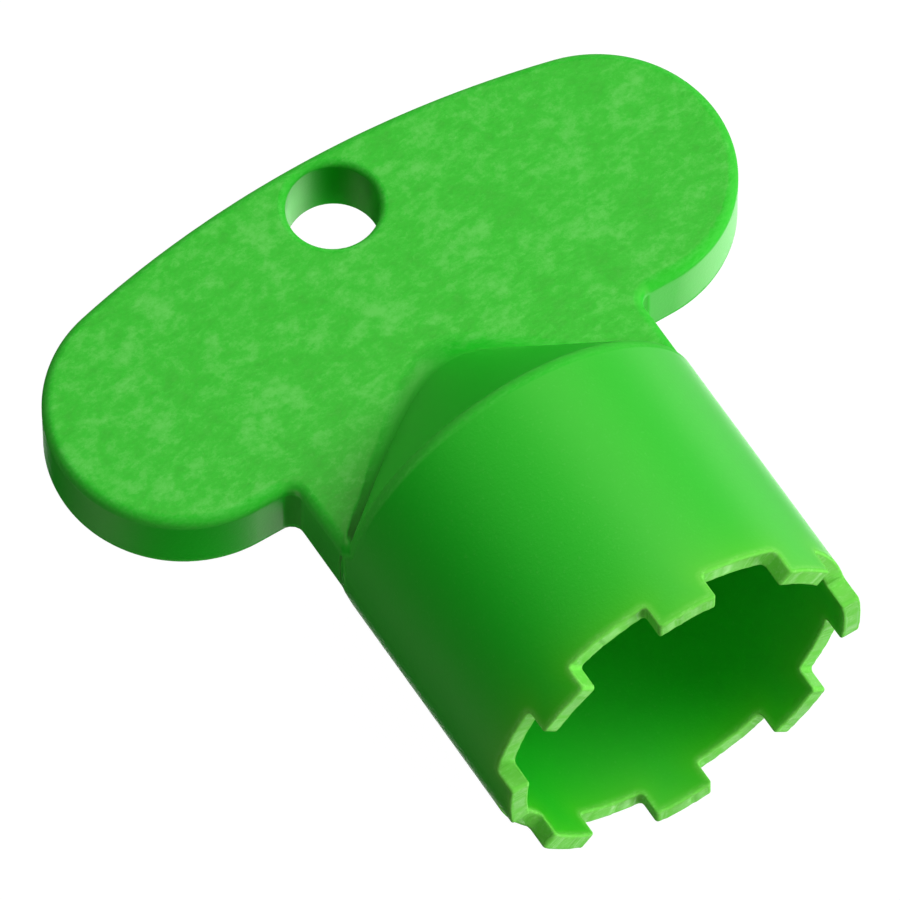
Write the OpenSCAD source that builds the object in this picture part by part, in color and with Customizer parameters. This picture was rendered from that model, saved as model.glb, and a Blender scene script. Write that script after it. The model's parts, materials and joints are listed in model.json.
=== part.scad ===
// Tap aerator key: a hollow, eight-toothed socket with a closed conical end,
// carried on a flat two-lobed bow. All sizes in millimetres.
//
// Frame: the socket's axis is Y. The tooth tips lie in the plane y = 0 and
// the bow lies at +Y. The flat bow lies in the XY plane, centred on z = 0.
//
// The real key is a single moulding. Its working regions are modelled as
// separate solids that meet face to face and never move on each other.

/* [Socket barrel] */
// Outside diameter of the barrel
barrel_d = 22; // [20:0.1:24]
// Wall thickness of the barrel, crown and teeth
wall = 1.1; // [0.9:0.1:1.6]
// Length of the cylinder, from the tooth tips to the shoulder
shoulder_y = 16.5; // [14:0.1:20]

/* [Drive teeth] */
// Number of teeth around the mouth
tooth_count = 8; // [6:1:10]
// Width of one tooth, measured across its parallel flanks
tooth_w = 3.5; // [2.5:0.1:4]
// Height of one tooth along the axis
tooth_h = 1.5; // [1:0.1:2.5]

/* [Crown] */
// Distance from the shoulder to the point that the cone aims at
crown_rise = 9.3; // [8:0.1:10]
// Radius of the flat roof at the end of the hollow
roof_r = 2.4; // [2:0.1:3]

/* [Bow] */
// Width across both lobes
bow_w = 41.2; // [38:0.1:46]
// Thickness of the bow
bow_t = 4.6; // [4:0.1:5]
// Radius of each lobe
lobe_r = 7.55; // [7:0.05:7.8]
// Distance of the lobe centres from the tooth tips
lobe_y = 29.15; // [28.5:0.05:30]
// Distance of the highest point of the bow from the tooth tips
bow_top = 38.3; // [38:0.1:39]

/* [Neck] */
// Width of the neck between barrel and bow
neck_w = 21.6; // [20:0.1:21.6]
// Radius of the hollow corner between neck and lobe
neck_fillet = 0.7; // [0.4:0.1:1.2]

/* [Key-ring hole] */
// Diameter of the hole
ring_hole_d = 5.1; // [4:0.1:6]
// Distance of the hole's centre from the tooth tips
ring_hole_y = 35; // [34:0.1:35.2]

/* [Hidden] */
$fn = 96;
outer_r = barrel_d / 2;
bore_r = outer_r - wall;
slope = outer_r / crown_rise;
// A wall of even thickness puts the hollow's own cone this far before the shoulder
bore_end_y = shoulder_y - wall * (sqrt(1 + slope * slope) - 1) / slope;
roof_y = bore_end_y + (bore_r - roof_r) / slope;
tip_r = bow_t / 2;
tip_y = shoulder_y + (outer_r - tip_r) / slope;
lobe_x = bow_w / 2 - lobe_r;
bow_low = lobe_y - lobe_r;
// The crest is the arc through bow_top that both lobes touch from inside
lobe_drop = bow_top - lobe_y;
crest_r = (lobe_x * lobe_x + lobe_drop * lobe_drop - lobe_r * lobe_r) / (2 * (lobe_drop - lobe_r));
crest_y = bow_top - crest_r;
cut_margin = 1;
key_green = [0.16, 0.65, 0.14];

// Turns a shape built along Z so that it lies along the socket's axis
module along_axis(y = 0) {
    translate([0, y, 0])
        rotate([-90, 0, 0])
            children();
}

// The cone that the crown fills, from the shoulder to its blunt tip
module crown_cone() {
    along_axis(shoulder_y)
        cylinder(h = tip_y - shoulder_y, r1 = outer_r, r2 = tip_r);
}

// Half of the bow's face: the body under the crest, one lobe and half the neck
module bow_half() {
    crest_reach = crest_r + cut_margin;
    lobe_reach = sqrt(lobe_x * lobe_x + pow(lobe_y - crest_y, 2));
    intersection() {
        translate([0, crest_y])
            circle(r = crest_r, $fn = 360);
        polygon([
            [0, shoulder_y],
            [0, bow_top + cut_margin],
            [lobe_x, lobe_y - crest_y] * crest_reach / lobe_reach + [0, crest_y],
            [lobe_x, lobe_y],
            [lobe_x, bow_low],
            [neck_w / 2, bow_low],
            [neck_w / 2, shoulder_y]
        ]);
    }
    translate([lobe_x, lobe_y])
        circle(r = lobe_r);
    difference() {
        translate([neck_w / 2, bow_low - neck_fillet])
            square(neck_fillet);
        translate([neck_w / 2 + neck_fillet, bow_low - neck_fillet])
            circle(r = neck_fillet);
    }
}

// The flat, two-lobed handle with its neck and the hole for a key ring
module grip_plate() {
    color(key_green)
        difference() {
            linear_extrude(height = bow_t, center = true) {
                bow_half();
                mirror([1, 0])
                    bow_half();
            }
            crown_cone();
            translate([0, ring_hole_y, 0])
                cylinder(h = bow_t + 2 * cut_margin, d = ring_hole_d, center = true);
        }
}

// The closed, conical end of the socket, hollow inside with an even wall
module crown() {
    color(key_green)
        along_axis()
            rotate_extrude()
                polygon([
                    [bore_r, bore_end_y],
                    [outer_r, bore_end_y],
                    [outer_r, shoulder_y],
                    [tip_r, tip_y],
                    [0, tip_y],
                    [0, roof_y],
                    [roof_r, roof_y]
                ]);
}

// A length of plain tube with the barrel's wall
module barrel_tube(from_y, to_y) {
    difference() {
        along_axis(from_y)
            cylinder(h = to_y - from_y, r = outer_r);
        along_axis(from_y - cut_margin)
            cylinder(h = to_y - from_y + 2 * cut_margin, r = bore_r);
    }
}

// The socket's wall between the roots of the teeth and the crown
module barrel() {
    color(key_green)
        barrel_tube(tooth_h, bore_end_y);
}

// One drive tooth: the piece of the tube's wall between two parallel flanks
module tooth(number) {
    color(key_green)
        intersection() {
            barrel_tube(0, tooth_h);
            rotate([0, -(number - 1) * 360 / tooth_count, 0])
                translate([0, -cut_margin, -tooth_w / 2])
                    cube([outer_r + cut_margin, tooth_h + 2 * cut_margin, tooth_w]);
        }
}

grip_plate();
crown();
barrel();
for (number = [1 : tooth_count])
    tooth(number);
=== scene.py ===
"""Looks of the moulded tap aerator key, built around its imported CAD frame.

The real key is one injection moulding, so it is one seamless mesh here. Its shape is a distance
field: a flat two-lobed bow, a cylinder that ends in a cone, a hollow inside it and a ring of
teeth, joined and cut with the small roundings that a mould leaves. The field is meshed on two
lattices, a round one for the toothed tube and a square one for the rest.
"""
import json
import math
from types import SimpleNamespace

import bmesh
import bpy
import numpy as np
from mathutils import Matrix, Vector


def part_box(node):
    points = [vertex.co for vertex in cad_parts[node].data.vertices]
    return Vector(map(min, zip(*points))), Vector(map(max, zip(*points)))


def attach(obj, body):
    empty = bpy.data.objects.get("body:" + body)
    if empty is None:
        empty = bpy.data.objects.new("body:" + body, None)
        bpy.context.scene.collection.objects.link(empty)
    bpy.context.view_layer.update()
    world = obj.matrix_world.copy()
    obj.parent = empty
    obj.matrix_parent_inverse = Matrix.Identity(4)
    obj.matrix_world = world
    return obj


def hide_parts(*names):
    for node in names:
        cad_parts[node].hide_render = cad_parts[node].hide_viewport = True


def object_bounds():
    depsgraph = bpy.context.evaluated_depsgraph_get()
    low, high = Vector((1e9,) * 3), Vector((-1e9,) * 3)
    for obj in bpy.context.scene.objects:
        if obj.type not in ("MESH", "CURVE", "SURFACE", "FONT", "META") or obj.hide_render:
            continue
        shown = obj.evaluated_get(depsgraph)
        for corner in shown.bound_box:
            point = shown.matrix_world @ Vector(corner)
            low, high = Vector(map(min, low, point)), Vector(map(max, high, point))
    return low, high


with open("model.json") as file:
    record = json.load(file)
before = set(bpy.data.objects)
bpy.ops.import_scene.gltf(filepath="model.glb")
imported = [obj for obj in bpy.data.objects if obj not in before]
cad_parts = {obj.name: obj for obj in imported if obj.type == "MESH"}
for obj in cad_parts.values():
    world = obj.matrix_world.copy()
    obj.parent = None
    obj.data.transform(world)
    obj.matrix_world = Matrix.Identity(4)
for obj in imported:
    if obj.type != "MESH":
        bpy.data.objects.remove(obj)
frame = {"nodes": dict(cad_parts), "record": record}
cad_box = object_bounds()

MM = 0.001

# Outline of the bow, where the CAD boxes and mounts don't give it
LOBE_RADIUS = 7.55 * MM
LOBE_Y = 29.15 * MM
NECK_HALF_WIDTH = 10.8 * MM
NECK_FILLET = 0.7 * MM

# Radius of the flat roof at the end of the hollow
ROOF_RADIUS = 2.4 * MM

# Roundings of the moulding
BOW_EDGE = 0.6 * MM
HOLE_EDGE = 0.42 * MM
CREASE_LOW = 0.42 * MM
CREASE_HIGH = 1.0 * MM
SHOULDER_EDGE = 0.3 * MM
TOOTH_EDGE = 0.11 * MM
TOOTH_CORNER = 0.2 * MM
TOOTH_ROOT = 0.25 * MM
HOLLOW_EDGE = 0.5 * MM

# The rim is a little uneven: waves round the axis, each given by its count and phase
RAGGED_DEPTH = 0.07 * MM
RAGGED_WAVES = ((13, 0.4), (37, 2.1), (71, 4.0), (103, 1.2), (151, 5.3))

# The neck starts inside the tube, and stays flush with it up to here above the shoulder
NECK_BURIED = 1.0 * MM
NECK_FLUSH = 2.0 * MM

# How far the rim's painted glow and paler painted light and the mottling of the faces take to fade
RIM_DEPTH = 0.45 * MM
FACE_FADE = 1.0 * MM

# The bow's flat faces begin where the normal's Z passes the first value, and the mottling is
# at its full strength once Z is higher by the second
FACE_NORMAL = 0.8
FACE_NORMAL_SPAN = 0.18

# The round lattice ends on this plane, across the plain tube, and the square one starts after it
SEAM_Y = 13.6 * MM
SEAM_GAP = 0.3 * MM
COARSE = 1.0

# Points settle on the surface by short steps, and never divide by a slope near zero
SETTLE_ROUNDS = 4
SETTLE_STEP = 0.1 * MM
LEAST_SLOPE_SQUARED = 0.2


# ---------------------------------------------------------------- dimensions

def mount(name):
    """The record's mount of that name."""
    return next(m for m in frame["record"]["mounts"] if m["name"] == name)


def dimensions():
    """The key's sizes in metres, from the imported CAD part."""
    d = SimpleNamespace()
    low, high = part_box("grip_plate")
    d.half_t = (high.z - low.z) / 2
    d.bow_top = high.y
    d.shoulder_y = low.y
    d.lobe_x = (high.x - low.x) / 2 - LOBE_RADIUS
    d.bow_low = LOBE_Y - LOBE_RADIUS
    # The crest is the arc through bow_top that both lobes touch from inside
    drop = d.bow_top - LOBE_Y
    d.crest_r = (d.lobe_x**2 + drop**2 - LOBE_RADIUS**2) / (2 * (drop - LOBE_RADIUS))
    d.crest_y = d.bow_top - d.crest_r

    d.outer_r = mount("barrel_outside")["dims"]["r_mm"] * MM
    d.bore_r = mount("socket_bore")["dims"]["r_mm"] * MM
    d.hole_r = mount("keyring_hole")["dims"]["r_mm"] * MM
    d.hole_y = mount("keyring_hole")["pos_m"][1]

    low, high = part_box("crown")
    d.tip_y = high.y
    d.slope = (d.outer_r - d.half_t) / (high.y - d.shoulder_y)
    d.bore_end_y = low.y
    d.roof_y = d.bore_end_y + (d.bore_r - ROOF_RADIUS) / d.slope

    low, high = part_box("tooth_1")
    d.tooth_w = high.z - low.z
    d.tooth_h = high.y - low.y
    d.tooth_count = sum(name.startswith("tooth_") for name in frame["nodes"])
    return d


DIM = dimensions()


# ---------------------------------------------------------------- distance field

def rounded_union(a, b, r):
    """Both shapes, with a fillet of radius r where their surfaces meet."""
    return np.maximum(r, np.minimum(a, b)) - np.hypot(np.maximum(r - a, 0), np.maximum(r - b, 0))


def rounded_overlap(a, b, r):
    """What two shapes share, with its edge rounded to radius r."""
    return np.minimum(-r, np.maximum(a, b)) + np.hypot(np.maximum(r + a, 0), np.maximum(r + b, 0))


def bow_outline(x, y):
    """Distance in the bow's plane from its outline, below zero inside."""
    x = np.abs(x)
    to_crest = np.hypot(x, y - DIM.crest_y) - DIM.crest_r
    to_lobe = np.hypot(x - DIM.lobe_x, y - LOBE_Y) - LOBE_RADIUS
    under_crest = x * (LOBE_Y - DIM.crest_y) < (y - DIM.crest_y) * DIM.lobe_x
    under_crest |= (x < DIM.lobe_x) & (y < LOBE_Y)
    top = np.where(under_crest, to_crest, to_lobe)

    fillet_x = NECK_HALF_WIDTH + NECK_FILLET
    fillet_y = DIM.bow_low - NECK_FILLET
    to_fillet = NECK_FILLET - np.hypot(x - fillet_x, y - fillet_y)
    past_neck = x - NECK_HALF_WIDTH
    under_lobe = DIM.bow_low - y
    upper = np.where(x < fillet_x, to_fillet, under_lobe)
    lower = np.where(x < fillet_x, past_neck, np.minimum(past_neck, under_lobe))
    bottom = np.where(y > fillet_y, upper, lower)
    bottom = np.maximum(bottom, DIM.shoulder_y - NECK_BURIED - y)
    return np.where(x < DIM.lobe_x, np.maximum(top, bottom), top)


def bow(x, y, z):
    """The flat bow and neck, with an evenly rounded edge."""
    across = bow_outline(x, y) + BOW_EDGE
    through = np.abs(z) - (DIM.half_t - BOW_EDGE)
    outside = np.hypot(np.maximum(across, 0), np.maximum(through, 0))
    return np.minimum(np.maximum(across, through), 0) + outside - BOW_EDGE


def ragged(angle):
    """Unevenness round the rim, from 0 to 1, the same on every run."""
    waves = sum(np.sin(count * angle + phase) for count, phase in RAGGED_WAVES)
    return 0.5 + 0.5 * waves / len(RAGGED_WAVES)


def tooth_profile(rho, y, angle):
    """Space that the toothed rim leaves: above the roots, or between a tooth's flanks."""
    step = 2 * math.pi / DIM.tooth_count
    off = angle - np.round(angle / step) * step
    y = y - RAGGED_DEPTH * ragged(angle)
    flank = np.abs(rho * np.sin(off)) - DIM.tooth_w / 2
    tooth = rounded_overlap(flank, -y, TOOTH_CORNER)
    return rounded_union(DIM.tooth_h - y, tooth, TOOTH_ROOT)


def key_field(points):
    """Signed distance from the key's surface, below zero in the plastic."""
    x, y, z = points[..., 0], points[..., 1], points[..., 2]
    rho = np.hypot(x, z)
    tilt = 1 / math.hypot(1, DIM.slope)

    tube = rho - DIM.outer_r
    cone = (tube + DIM.slope * (y - DIM.shoulder_y)) * tilt
    socket = rounded_overlap(tube, cone, SHOULDER_EDGE)
    # The crease is tight beside the shoulder and soft round the tip of the crown
    climb = np.clip((y - DIM.shoulder_y) / (DIM.tip_y - DIM.shoulder_y), 0, 1)
    crease = CREASE_LOW + (CREASE_HIGH - CREASE_LOW) * climb**1.5
    body = rounded_union(bow(x, y, z), socket, crease)
    flush = y < DIM.shoulder_y + NECK_FLUSH
    body = np.where(flush, np.maximum(body, tube), body)
    body = rounded_overlap(body, DIM.hole_r - np.hypot(x, y - DIM.hole_y), HOLE_EDGE)

    bore = rho - DIM.bore_r
    bore_cone = (bore + DIM.slope * (y - DIM.bore_end_y)) * tilt
    hollow = rounded_overlap(bore, bore_cone, HOLLOW_EDGE)
    hollow = rounded_overlap(hollow, y - DIM.roof_y, HOLLOW_EDGE)
    body = np.maximum(body, -hollow)

    return rounded_overlap(body, tooth_profile(rho, y, np.arctan2(z, x)), TOOTH_EDGE)


def field_slope(points, reach=0.01 * MM):
    """The field's gradient, by central differences."""
    slope = np.empty_like(points)
    for axis in range(3):
        shift = np.zeros(3)
        shift[axis] = reach
        slope[:, axis] = (key_field(points + shift) - key_field(points - shift)) / (2 * reach)
    return slope


# ---------------------------------------------------------------- meshing

def steps(*stretches):
    """Lattice lines through stretches of (start, end, spacing), each divided evenly."""
    lines = []
    for start, end, spacing in stretches:
        count = max(1, round((end - start) / (spacing * COARSE)))
        lines.append(np.linspace(start, end, count + 1)[:-1])
    lines.append([stretches[-1][1]])
    return np.concatenate(lines)


def mirrored(lines):
    """Lattice lines from zero up, and the same below zero."""
    return np.concatenate([-lines[:0:-1], lines])


def surface_net(lattice, place, ring=False):
    """Vertices and quads where the field crosses zero on a lattice of three axes.

    place turns lattice coordinates into points. With ring set, the first axis closes on itself.
    """
    grid = np.stack(np.meshgrid(*lattice, indexing="ij"), -1)
    value = key_field(place(grid))
    if ring:
        value[-1] = value[0]
    inside = value < 0
    cells = tuple(n - 1 for n in value.shape)

    corners = [(i, j, k) for i in (0, 1) for j in (0, 1) for k in (0, 1)]
    filled = np.zeros(cells, np.uint8)
    for i, j, k in corners:
        filled += inside[i:i + cells[0], j:j + cells[1], k:k + cells[2]]
    at = np.argwhere((filled > 0) & (filled < 8))
    number = np.full(cells, -1, np.int64)
    number[tuple(at.T)] = np.arange(len(at))

    # A cell's vertex is the mean of the points where its edges cross the surface
    total = np.zeros((len(at), 3))
    count = np.zeros(len(at))
    for corner in corners:
        for axis in range(3):
            if corner[axis]:
                continue
            a = at + corner
            b = a.copy()
            b[:, axis] += 1
            va, vb = value[tuple(a.T)], value[tuple(b.T)]
            crosses = (va < 0) != (vb < 0)
            share = np.where(crosses, va / np.where(crosses, va - vb, 1), 0)
            pa, pb = grid[tuple(a.T)], grid[tuple(b.T)]
            total += np.where(crosses[:, None], pa + (pb - pa) * share[:, None], 0)
            count += crosses
    points = place(total / count[:, None])

    quads = []
    for axis in range(3):
        ahead = [slice(None)] * 3
        behind = [slice(None)] * 3
        ahead[axis], behind[axis] = slice(1, None), slice(None, -1)
        crossing = np.argwhere(inside[tuple(behind)] != inside[tuple(ahead)])
        b, c = (axis + 1) % 3, (axis + 2) % 3
        keep = np.ones(len(crossing), bool)
        for other in (b, c):
            first = 0 if ring and other == 0 else 1
            keep &= (crossing[:, other] >= first) & (crossing[:, other] < cells[other])
        crossing = crossing[keep]
        leaves = inside[tuple(crossing.T)]
        around = []
        for db, dc in ((-1, -1), (0, -1), (0, 0), (-1, 0)):
            cell = crossing.copy()
            cell[:, b] += db
            cell[:, c] += dc
            around.append(number[tuple(cell.T)])
        quad = np.stack(around, 1)
        quad[~leaves] = quad[~leaves][:, ::-1]
        quads.append(quad)
    return points, np.concatenate(quads)


def tube_lattice():
    """Angle, radius and height lines for the toothed tube, finest along the teeth's edges."""
    step = 2 * math.pi / DIM.tooth_count
    flank = math.asin(DIM.tooth_w / 2 / DIM.outer_r)
    margin = 0.45 * MM / DIM.outer_r
    fine = 0.1 * MM / DIM.outer_r
    wide = 0.42 * MM / DIM.outer_r
    period = steps(
        (-step / 2, -flank - margin, wide),
        (-flank - margin, -flank + margin, fine),
        (-flank + margin, flank - margin, wide),
        (flank - margin, flank + margin, fine),
        (flank + margin, step / 2, wide),
    )[:-1]
    turns = [period + step * k for k in range(DIM.tooth_count)]
    angle = np.append(np.concatenate(turns), period[0] + 2 * math.pi)
    # No line lies on a flat or round face, where rounding errors would tear the net
    near, far = 0.12 * MM, 0.18 * MM
    radius = steps(
        (DIM.bore_r - far, DIM.bore_r + near, 0.075 * MM),
        (DIM.bore_r + near, DIM.outer_r - near, 0.1 * MM),
        (DIM.outer_r - near, DIM.outer_r + far, 0.075 * MM),
    )
    tips_start, tips_end = -0.12 * MM, 0.45 * MM
    roots_start, roots_end = 1.15 * MM, 1.75 * MM
    plain_start = 3.0 * MM
    height = steps(
        (tips_start, tips_end, 0.08 * MM),
        (tips_end, roots_start, 0.14 * MM),
        (roots_start, roots_end, 0.1 * MM),
        (roots_end, plain_start, 0.25 * MM),
        (plain_start, SEAM_Y, 0.7 * MM),
    )
    return angle, radius, height


def bow_lattice():
    """X, Y and Z lines for the rest of the key, finest at the hole, edges and shoulder."""
    margin = 0.3 * MM
    side = DIM.lobe_x + LOBE_RADIUS + margin
    hole = DIM.hole_r + 2 * HOLE_EDGE
    edge_step = 0.12 * MM
    hole_step = 0.16 * MM
    face_step = 0.24 * MM
    plain_step = 0.35 * MM
    x = mirrored(steps((0, hole, hole_step), (hole, side, face_step)))
    shoulder_start = DIM.shoulder_y - 0.4 * MM
    shoulder_end = DIM.shoulder_y + 0.5 * MM
    y = steps(
        (SEAM_Y + SEAM_GAP, shoulder_start, plain_step),
        (shoulder_start, shoulder_end, edge_step),
        (shoulder_end, DIM.hole_y - hole, face_step),
        (DIM.hole_y - hole, DIM.bow_top + margin, hole_step),
    )
    edge = DIM.half_t - BOW_EDGE
    z = mirrored(steps(
        (0, edge, plain_step),
        (edge, DIM.half_t + margin, edge_step),
        (DIM.half_t + margin, DIM.outer_r + margin, 0.28 * MM),
    ))
    return x, y, z


def round_place(lattice):
    """Points for lattice coordinates of angle, radius and height."""
    angle, radius, height = lattice[..., 0], lattice[..., 1], lattice[..., 2]
    return np.stack([radius * np.cos(angle), height, radius * np.sin(angle)], -1)


def settle(points):
    """Moves points along the field's slope onto the surface itself."""
    for _ in range(SETTLE_ROUNDS):
        slope = field_slope(points)
        size = np.maximum((slope**2).sum(1), LEAST_SLOPE_SQUARED)
        move = key_field(points) / size
        points = points - slope * np.clip(move, -SETTLE_STEP, SETTLE_STEP)[:, None]
    return points


def rims(points, quads):
    """The open edge loops of a net, each as vertex numbers in the order of their angle."""
    sides = np.concatenate([quads[:, [i, (i + 1) % 4]] for i in range(4)])
    key = np.sort(sides, 1)
    _, where, times = np.unique(key, axis=0, return_index=True, return_counts=True)
    edges = key[where[times == 1]]
    links = {}
    for a, b in edges.tolist():
        links.setdefault(a, []).append(b)
        links.setdefault(b, []).append(a)
    loops = []
    while links:
        start = next(iter(links))
        loop = [start]
        before, here = None, start
        while True:
            ahead = [n for n in links.pop(here) if n != before and n in links]
            if not ahead:
                break
            before, here = here, ahead[0]
            loop.append(here)
        loops.append(loop)
    return [by_angle(points, loop) for loop in loops]


def angle_of(points):
    """Angle of each point round the socket's axis."""
    return np.arctan2(points[:, 2], points[:, 0])


def by_angle(points, loop):
    """A loop turned so that it starts at its lowest angle and runs upward."""
    loop = np.array(loop)
    return loop[np.argsort(angle_of(points[loop]))]


def strip(points, low, high):
    """Triangles between two loops round the axis, each sorted by angle."""
    angles = [np.append(angle_of(points[loop]), math.inf) for loop in (low, high)]
    i, j = 0, 0
    faces = []
    while i < len(low) or j < len(high):
        a, b = low[i % len(low)], high[j % len(high)]
        step_low = i < len(low) and angles[0][i] <= angles[1][j]
        if step_low:
            i += 1
            faces.append((a, low[i % len(low)], b))
        else:
            j += 1
            faces.append((a, high[j % len(high)], b))
    return faces


def key_mesh():
    """The whole moulding as one closed mesh: two nets, joined by an inner and an outer band."""
    tube, tube_quads = surface_net(tube_lattice(), round_place, ring=True)
    rest, rest_quads = surface_net(bow_lattice(), lambda grid: grid)
    points = settle(np.concatenate([tube, rest]))
    rest_quads = rest_quads + len(tube)
    inner_and_outer = []
    for quads in (tube_quads, rest_quads):
        loops = rims(points, quads)
        loops.sort(key=lambda loop: np.hypot(*points[loop[0]][[0, 2]]))
        inner_and_outer.append(loops)
    bands = []
    for low, high in zip(*inner_and_outer):
        bands += strip(points, low, high)
    faces = [*tube_quads.tolist(), *rest_quads.tolist(), *bands]
    mesh = bpy.data.meshes.new("key_moulding")
    mesh.from_pydata(points.tolist(), [], faces)
    return mesh


def face_outward(mesh):
    """Turns every face so that its front is outside."""
    bm = bmesh.new()
    bm.from_mesh(mesh)
    bmesh.ops.recalc_face_normals(bm, faces=bm.faces[:])
    if bm.calc_volume(signed=True) < 0:
        bmesh.ops.reverse_faces(bm, faces=bm.faces[:])
    bm.to_mesh(mesh)
    bm.free()


def bend(points, reach=0.12 * MM):
    """How sharply the surface bends, per millimetre: above zero on edges, below in creases."""
    total = -6 * key_field(points)
    for axis in range(3):
        shift = np.zeros(3)
        shift[axis] = reach
        total += key_field(points + shift) + key_field(points - shift)
    return total / reach**2 * MM


def near_rim(points):
    """One on the ends of the teeth and gaps, fading into the wall behind them."""
    x, y, z = points.T
    depth = -tooth_profile(np.hypot(x, z), y, np.arctan2(z, x))
    return np.exp(-np.maximum(depth, 0) / RIM_DEPTH)


def on_face(points, normals):
    """One on the two flat faces of the bow."""
    flat = np.clip((np.abs(normals[:, 2]) - FACE_NORMAL) / FACE_NORMAL_SPAN, 0, 1)
    above = np.clip((points[:, 1] - DIM.shoulder_y) / FACE_FADE, 0, 1)
    return flat * above


def build_key():
    """The key's object, with the field's own normals and the values that its material uses."""
    mesh = key_mesh()
    piece = bpy.data.objects.new("key_moulding", mesh)
    bpy.context.scene.collection.objects.link(piece)
    face_outward(mesh)
    points = np.array([vertex.co[:] for vertex in mesh.vertices])
    normals = field_slope(points)
    normals /= np.linalg.norm(normals, axis=1, keepdims=True)
    mesh.shade_smooth()
    mesh.normals_split_custom_set_from_vertices(normals.tolist())
    masks = {"bend": bend(points), "rim": near_rim(points), "face": on_face(points, normals)}
    for name, values in masks.items():
        attribute = mesh.attributes.new(name, "FLOAT", "POINT")
        attribute.data.foreach_set("value", values.astype(np.float32))
    return piece


# ---------------------------------------------------------------- material

class Nodes:
    """A material and short calls that build its nodes."""

    def __init__(self, name):
        self.material = bpy.data.materials.new(name)
        self.material.use_nodes = True
        self.tree = self.material.node_tree
        self.shader = self.tree.nodes["Principled BSDF"]

    def put(self, node, inputs):
        """Links each input from a socket, or sets it to a number or colour."""
        for key, value in inputs.items():
            if isinstance(value, bpy.types.NodeSocket):
                self.tree.links.new(value, node.inputs[key])
            else:
                node.inputs[key].default_value = value
        return node

    def add(self, kind, inputs, **settings):
        """A new shader node of a kind, with its inputs and settings."""
        node = self.tree.nodes.new("ShaderNode" + kind)
        for key, value in settings.items():
            setattr(node, key, value)
        return self.put(node, inputs)

    def mask(self, name):
        """One of the values that build_key stores on the mesh."""
        return self.add("Attribute", {}, attribute_name=name).outputs["Fac"]

    def math(self, operation, a, b=0.0):
        """The result of a Math node with two inputs."""
        return self.add("Math", {0: a, 1: b}, operation=operation).outputs[0]

    def spread(self, value, low, high, to_low=0.0, to_high=1.0):
        """Maps low to high onto to_low to to_high, held at both ends."""
        return self.add("MapRange", {
            "Value": value,
            "From Min": low,
            "From Max": high,
            "To Min": to_low,
            "To Max": to_high,
        }).outputs["Result"]

    def mixed(self, *parts):
        """Sum of (value, weight) pairs."""
        total = 0.0
        for value, weight in parts:
            inputs = {0: value, 1: weight, 2: total}
            total = self.add("Math", inputs, operation="MULTIPLY_ADD").outputs[0]
        return total

    def blend(self, share, a, b):
        """Colour a going over to b; 6, 7 and 2 are the colour sockets of a Mix node."""
        return self.add("Mix", {0: share, 6: a, 7: b}, data_type="RGBA").outputs[2]

    def noise(self, at, size, detail, roughness, stretch=(1, 1, 1), turn=0.0, distortion=0.0):
        """Noise with features of about size metres, turned about Z and stretched along its axes."""
        mapped = self.add("Mapping", {
            "Vector": at,
            "Scale": tuple(1 / (size * s) for s in stretch),
            "Rotation": (0, 0, math.radians(turn)),
        })
        return self.add("TexNoise", {
            "Vector": mapped.outputs[0],
            "Scale": 1.0,
            "Detail": detail,
            "Roughness": roughness,
            "Distortion": distortion,
        }).outputs["Fac"]


# Colours of the plastic: plain green first, then what it turns to in places; the crease green is
# painted shade, the glow and rim greens painted light
GREEN = (0.0, 0.475, 0.009, 1)
DEEP_GREEN = (0.0, 0.41, 0.007, 1)
CLOUDED_AND_HIGHLIT_GREEN = (0.068, 0.545, 0.06, 1)
CREASE_SHADE_GREEN = (0.0, 0.09, 0.002, 1)
GLOW_GREEN = (0.04, 0.52, 0.004, 1)
RIM_LIT_GREEN = (0.12, 0.60, 0.05, 1)
NICKED_GREEN = (0.30, 0.72, 0.2, 1)

# Sizes of the marks on the plastic
CLOUD_SIZE = 2.8 * MM
PATCH_SIZE = 0.8 * MM
SCUFF_SIZE = 0.2 * MM
PORE_SIZE = 0.17 * MM

# Gloss and relief of the plastic
SMOOTHEST = 0.46
CLOUDED_ROUGHNESS = 0.6
DULLING = 0.4
RELIEF_STRENGTH = 0.33
RELIEF_HEIGHT = 0.05 * MM
SPECULAR_LEVEL = 0.8
SPECULAR_TINT = (1, 1, 0.6, 1)


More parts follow.
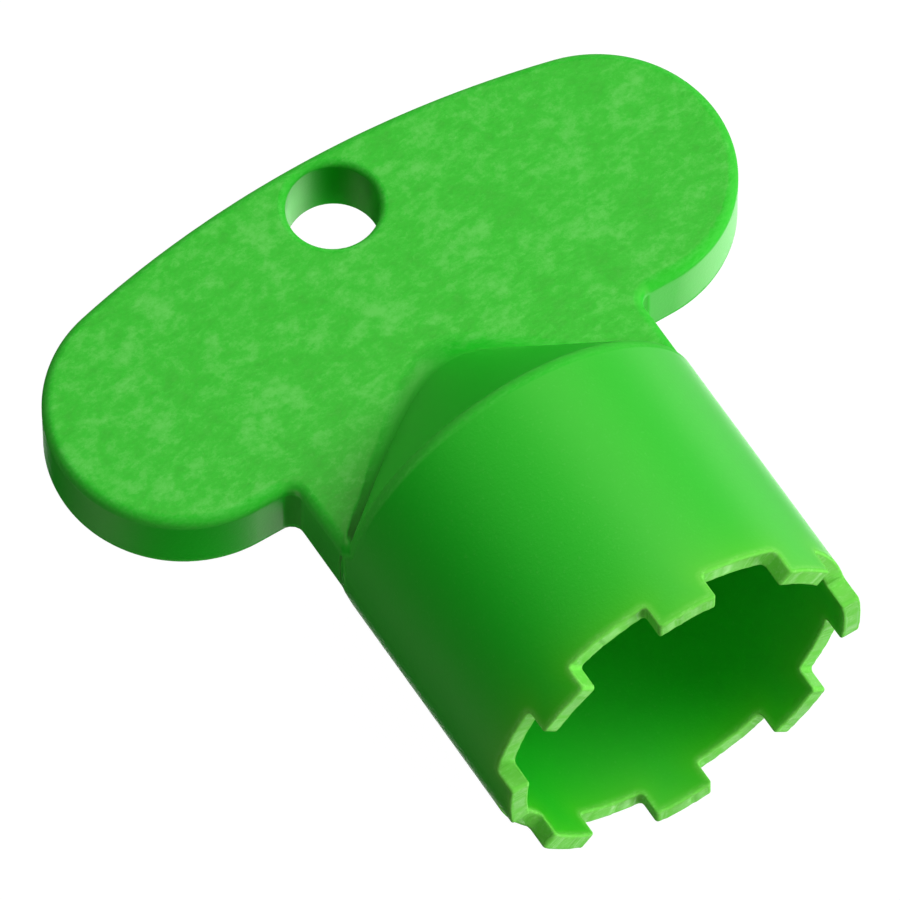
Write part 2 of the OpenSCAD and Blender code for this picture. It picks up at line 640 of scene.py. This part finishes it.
def plastic():
    """Satin green plastic: clouded and scuffed on the bow's faces, paler at edges with wear and a
    painted highlight, with painted light on the rim and painted shade in creases.
    """
    n = Nodes("moulded_plastic")
    at = n.add("TexCoord", {}).outputs["Object"]
    face, rim, bent = n.mask("face"), n.mask("rim"), n.mask("bend")

    # Clouds on the faces: wide patches broken up by finer ones
    wide = n.noise(at, CLOUD_SIZE, 8, 0.78, distortion=0.1)
    patchy = n.noise(at, PATCH_SIZE, 6, 0.74, stretch=(1.4, 1, 1), turn=-15)
    clouds = n.mixed((wide, 0.55), (patchy, 0.45))
    cloudy = n.spread(clouds, 0.49, 0.61)
    murky = n.spread(clouds, 0.49, 0.39)

    # Fine wear: short scuffs on the faces, rubbed edges that also carry a painted highlight, and
    # pores and dust everywhere
    scuffs = n.noise(at, SCUFF_SIZE, 4, 0.65, stretch=(2.0, 1, 1), turn=-12)
    scuffed = n.spread(scuffs, 0.48, 0.7)
    pores = n.noise(at, PORE_SIZE, 2, 0.6)
    dust = n.spread(pores, 0.60, 0.74)
    # Paler on sharply bent convex edges: edge wear and a painted highlight
    rubbed_and_highlit = n.math("MULTIPLY", n.spread(bent, 0.8, 2.2), n.spread(scuffs, 0.42, 0.6))

    # From the plain green to the paler and darker ones, then painted shade in creases and painted
    # glow and light on the rim, and last the rim with its nicks
    marked = n.math("MULTIPLY", n.mixed((cloudy, 0.95), (scuffed, 0.2)), face)
    light = n.mixed((marked, 1.0), (dust, 0.3), (rubbed_and_highlit, 0.35))
    colour = n.blend(n.math("MULTIPLY", murky, face), GREEN, DEEP_GREEN)
    colour = n.blend(light, colour, CLOUDED_AND_HIGHLIT_GREEN)
    # Painted shade: dark green in the concave creases
    colour = n.blend(n.spread(bent, -1.05, -2.2), colour, CREASE_SHADE_GREEN)
    # Painted glow: the rim and the wall just behind it, standing for light through the thin plastic
    colour = n.blend(n.math("POWER", rim, 0.35), colour, GLOW_GREEN)
    # Painted light: the ends of the teeth and gaps go paler still
    cut = n.spread(rim, 0.35, 0.95)
    colour = n.blend(cut, colour, RIM_LIT_GREEN)
    nicks = n.math("MULTIPLY", cut, n.spread(scuffs, 0.5, 0.68, 0, 0.4))
    colour = n.blend(nicks, colour, NICKED_GREEN)

    # The relief is strongest on the faces
    faint = n.math("MULTIPLY", scuffs, n.spread(face, 0, 1, 0.3, 1.0))
    relief = n.mixed((faint, 1.0), (pores, 0.5), (n.math("MULTIPLY", patchy, face), 1.2))

    # Creases and edges stay dull, as the photo shows no lines of light along them
    dull = n.math("MAXIMUM", n.spread(bent, -0.3, -1.2), n.spread(bent, 0.5, 1.5))
    rough = n.spread(light, 0, 1, SMOOTHEST, CLOUDED_ROUGHNESS)
    rough = n.mixed((rough, 1.0), (dull, DULLING))
    bump = n.add("Bump", {
        "Strength": RELIEF_STRENGTH,
        "Distance": RELIEF_HEIGHT,
        "Height": relief,
    })
    n.put(n.shader, {
        "Base Color": colour,
        "Roughness": rough,
        "Normal": bump.outputs[0],
        "Specular IOR Level": SPECULAR_LEVEL,
        "Specular Tint": SPECULAR_TINT,
    })
    return n.material


def floor_white():
    """The floor's matte white, which comes from its own glow."""
    n = Nodes("floor")
    n.put(n.shader, {
        "Base Color": FLOOR_BASE,
        "Roughness": 0.9,
        "Specular IOR Level": 0.0,
        "Emission Color": WHITE,
        "Emission Strength": 1.0,
    })
    return n.material


# ---------------------------------------------------------------- stage

# The camera, fitted to the photo: angles in degrees, lens in millimetres
CAMERA_AZIMUTH = -32.064
CAMERA_ELEVATION = 60.752
CAMERA_ROLL = -0.345
CAMERA_DISTANCE = 0.89168
CAMERA_LENS = 671.0
CAMERA_SENSOR = 36
CAMERA_NEAREST = 0.01
CAMERA_FARTHEST = 10
CAMERA_TARGET = Vector((-0.00207, 0.02004, 0))

WHITE = (1, 1, 1, 1)
FLOOR_BASE = (0.05, 0.05, 0.05, 1)
FLOOR_SIZE = 3.0
FLOOR_GAP = 0.02 * MM
LIGHT_DISTANCE = 0.8
LIGHT_SIZE = 0.5


def look(azimuth, elevation):
    """Direction of sight: azimuth 0 looks along +Y, and elevation looks down from above."""
    a, e = math.radians(azimuth), math.radians(elevation)
    return Vector((-math.sin(a) * math.cos(e), math.cos(a) * math.cos(e), -math.sin(e)))


def aim(thing, azimuth, elevation, distance, roll=0.0):
    """Puts a camera or light where it sees the key along a direction of sight."""
    sight = look(azimuth, elevation)
    turn = sight.to_track_quat("-Z", "Y").to_matrix() @ Matrix.Rotation(math.radians(roll), 3, "Z")
    thing.matrix_world = Matrix.Translation(CAMERA_TARGET - sight * distance) @ turn.to_4x4()
    bpy.context.scene.collection.objects.link(thing)


def add_camera():
    """The camera at the photo's viewing angle."""
    camera = bpy.data.objects.new("camera", bpy.data.cameras.new("camera"))
    aim(camera, CAMERA_AZIMUTH, CAMERA_ELEVATION, CAMERA_DISTANCE, CAMERA_ROLL)
    camera.data.lens = CAMERA_LENS
    camera.data.sensor_width = CAMERA_SENSOR
    camera.data.clip_start = CAMERA_NEAREST
    camera.data.clip_end = CAMERA_FARTHEST
    bpy.context.scene.camera = camera


def add_floor():
    """A white floor under the key that light from below passes through."""
    height = cad_box[0][2] - FLOOR_GAP
    bpy.ops.mesh.primitive_plane_add(size=FLOOR_SIZE, location=(0, 0, height))
    floor = bpy.context.object
    floor.name = "floor"
    floor.data.materials.append(floor_white())
    floor.visible_diffuse = False
    floor.visible_glossy = False
    floor.visible_shadow = False


def add_light(name, azimuth, elevation, power, mirrored=True, mirrored_only=False):
    """A soft round light that shines at the key along a direction of sight.

    The plastic shows its reflection if it is mirrored. If it is mirrored only, that is all it
    does, and it stands for a white card.
    """
    light = bpy.data.objects.new(name, bpy.data.lights.new(name, "AREA"))
    aim(light, azimuth, elevation, LIGHT_DISTANCE)
    light.data.shape = "DISK"
    light.data.size = LIGHT_SIZE
    light.data.energy = power
    light.visible_camera = False
    light.visible_diffuse = not mirrored_only
    light.visible_glossy = mirrored


def add_lights():
    """Soft light from the right and above, and what a white table sends back from below."""
    add_light("key_light", 67.5, 45, 4.95)
    add_light("front_light", 22.5, 45, 1.34)
    add_light("right_light", 112.5, 45, 0.43)
    add_light("top_light", 90, 70, 1.80)
    add_light("back_light", 195, 30, 1.5)
    add_light("low_front_light", 22.5, -5, 1.97)
    add_light("low_left_light", -67.5, -5, 0.75)
    add_light("low_corner_light", -22.5, -5, 0.60)
    add_light("table_front_light", 45, -35, 3.59, mirrored=False)
    add_light("table_left_light", -90, -35, 0.62)
    add_light("low_right_light", 112.5, -5, 0.35)
    add_light("right_reflection", 95, -5, 1.2, mirrored_only=True)
    add_light("table_reflection", 70, -60, 1.6, mirrored_only=True)
    add_light("table_right_reflection", 140, -60, 2.5, mirrored_only=True)
    add_light("low_right_reflection", 140, -30, 1.4, mirrored_only=True)


def add_world():
    """White behind the floor for the camera, and no light of its own."""
    world = bpy.data.worlds.new("studio")
    world.use_nodes = True
    world.node_tree.nodes["Background"].inputs["Color"].default_value = WHITE
    world.cycles_visibility.diffuse = False
    world.cycles_visibility.glossy = False
    bpy.context.scene.world = world


add_camera()
key = build_key()
key.data.materials.append(plastic())
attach(key, "root")
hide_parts(*frame["nodes"])
add_floor()
add_lights()
add_world()
bpy.context.scene.view_settings.view_transform = "Standard"
